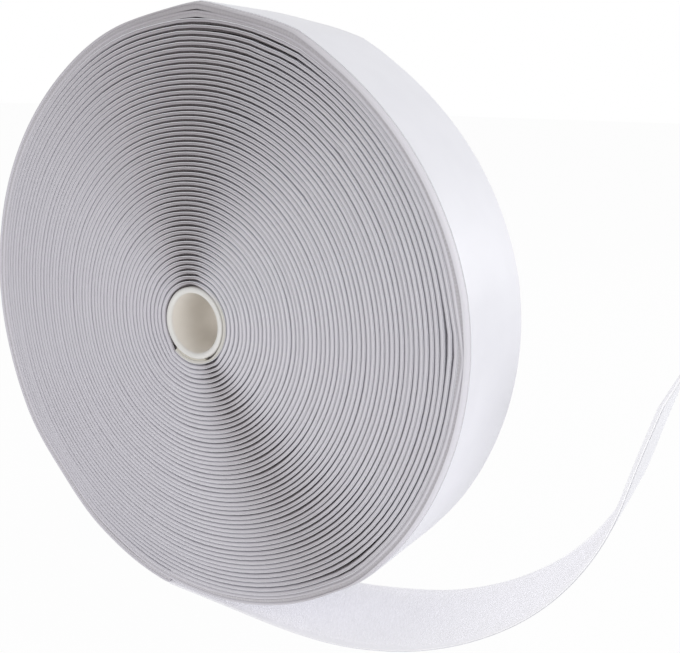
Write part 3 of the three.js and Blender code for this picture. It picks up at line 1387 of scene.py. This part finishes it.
@dataclass(frozen=True)
class Studio:
    """A pale floor, a white surround, soft lamps and the camera at the photograph's angle."""

    target: Vector
    floor_gap: float = 0.3 * MM
    floor_size: float = 40.0
    ambient: float = 0.54
    floor_glow: float = 0.40
    floor_seen: float = 0.96
    floor_colour: tuple[float, float, float, float] = (0.93, 0.93, 0.93, 1.0)
    azimuth: float = 39.735
    elevation: float = 13.104
    distance: float = 0.41507
    lens: float = 48.033
    sensor: float = 36.0
    pan: float = 6.910
    tilt: float = 0.821

    # Each lamp's place and side in metres, and its power in watts
    LAMPS = {
        "side_lamp": ((1.37, -0.58, 0.34), 0.6, 4.7),
        "rear_lamp": ((0.88, 0.9, 0.45), 0.5, 2.8),
        "top_lamp": ((0.15, 0.1, 1.6), 0.8, 3.2),
        "low_lamp": ((-0.03, -0.22, 0.05), 0.08, 0.045),
    }

    def surround(self) -> None:
        """Lights the scene from a white world, which the camera and clear reflections see at full white."""
        world = bpy.data.worlds.new("white_surround")
        world.use_nodes = True
        bpy.context.scene.world = world
        nodes = Nodes(world.node_tree)
        background = world.node_tree.nodes["Background"]
        nodes.put(background.inputs["Strength"], nodes.seen(1.0, self.ambient))
        background.inputs["Color"].default_value = (1.0, 1.0, 1.0, 1.0)

    def floor(self) -> None:
        """Lays the pale floor, which keeps a soft shadow."""
        sheet = bmesh.new()
        bmesh.ops.create_grid(sheet, x_segments=1, y_segments=1, size=self.floor_size / 2)
        bmesh.ops.translate(sheet, verts=sheet.verts, vec=(0, 0, -self.floor_gap))
        mesh = as_mesh("floor", sheet)
        material = bpy.data.materials.new("pale_floor")
        material.use_nodes = True
        nodes = Nodes(material.node_tree)
        material.node_tree.nodes.remove(material.node_tree.nodes["Principled BSDF"])
        matt = nodes.add("ShaderNodeBsdfDiffuse")
        matt.inputs["Color"].default_value = self.floor_colour
        bright = nodes.add("ShaderNodeEmission")
        mix = nodes.add("ShaderNodeMixShader")
        nodes.put(mix.inputs[0], nodes.seen(self.floor_seen, self.floor_glow))
        nodes.put(mix.inputs[1], matt.outputs[0])
        nodes.put(mix.inputs[2], bright.outputs[0])
        nodes.put(material.node_tree.nodes["Material Output"].inputs["Surface"], mix.outputs[0])
        mesh.materials.append(material)
        floor = bpy.data.objects.new("floor", mesh)
        bpy.context.scene.collection.objects.link(floor)

    def lamp(self, name: str, place: tuple[float, float, float], size: float, power: float) -> None:
        """Hangs a soft square lamp that points at the roll.

        Args:
            name: The lamp's name.
            place: Where it hangs.
            size: The length of its side.
            power: Its power in watts.
        """
        lamp = bpy.data.lights.new(name, "AREA")
        lamp.size = size
        lamp.energy = power
        holder = bpy.data.objects.new(name, lamp)
        holder.location = place
        holder.rotation_euler = (self.target - Vector(place)).to_track_quat("-Z", "Y").to_euler()
        bpy.context.scene.collection.objects.link(holder)

    def camera(self) -> None:
        """Sets the camera where the photograph was taken from."""
        around, up = math.radians(self.azimuth), math.radians(self.elevation)
        back = Vector((math.sin(around) * math.cos(up), -math.cos(around) * math.cos(up), math.sin(up)))
        right = (-back).cross(Vector((0, 0, 1))).normalized()
        aim = Matrix((right, (-back).cross(right), -back))
        pan, tilt = math.radians(self.pan), math.radians(self.tilt)
        panned = Matrix(((math.cos(pan), 0, -math.sin(pan)), (0, 1, 0), (math.sin(pan), 0, math.cos(pan))))
        cosine, sine = math.cos(tilt), math.sin(tilt)
        tilted = Matrix(((1, 0, 0), (0, cosine, -sine), (0, sine, cosine)))
        rows = tilted @ panned @ aim
        turn = Matrix((rows[0], -rows[1], -rows[2])).transposed()
        lens = bpy.data.cameras.new("photo_camera")
        lens.lens = self.lens
        lens.sensor_width = self.sensor
        lens.clip_start = 0.01
        camera = bpy.data.objects.new("photo_camera", lens)
        camera.matrix_world = Matrix.Translation(self.target + back * self.distance) @ turn.to_4x4()
        bpy.context.scene.collection.objects.link(camera)
        bpy.context.scene.camera = camera

    def build(self) -> None:
        """Builds the whole studio."""
        self.surround()
        self.floor()
        for name, (place, size, power) in self.LAMPS.items():
            self.lamp(name, place, size, power)
        self.camera()
        bpy.context.scene.view_settings.view_transform = "Standard"


def main() -> None:
    """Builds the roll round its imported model."""
    logging.basicConfig(level=logging.INFO, format="%(message)s")
    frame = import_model()
    joints = {joint["name"]: Vector(joint["pos_m"]) for joint in frame["joints"]}
    core_low, core_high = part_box("core_tube")
    tape_low, tape_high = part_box("wound_tape")
    axis_height = (core_low.z + core_high.z) / 2
    tape = TapeSizes(width=tape_high.y - tape_low.y)
    finishes = make_finishes()

    core_radius = (core_high.x - core_low.x) / 2
    core = Core(axis_height, core_radius, CORE_WALL, core_high.y - core_low.y, finishes)
    core.build()

    start_radius = core_radius + tape.thickness + START_CLEARANCE
    line = WoundLine(axis_height, start_radius, end_radius=axis_height)
    wound = Winding(tape, line, finishes).build()

    loose = LooseLine(tape.thickness, rest_start=float(wound.places[-1, 0])).route()
    end = LooseEnd(tape, finishes, joints["lower_flex"], joints["upper_flex"], joints["liner_peel"])
    end.build(loose)

    Studio(Vector((0.0, 0.0, axis_height))).build()


if __name__ == "__main__":
    main()
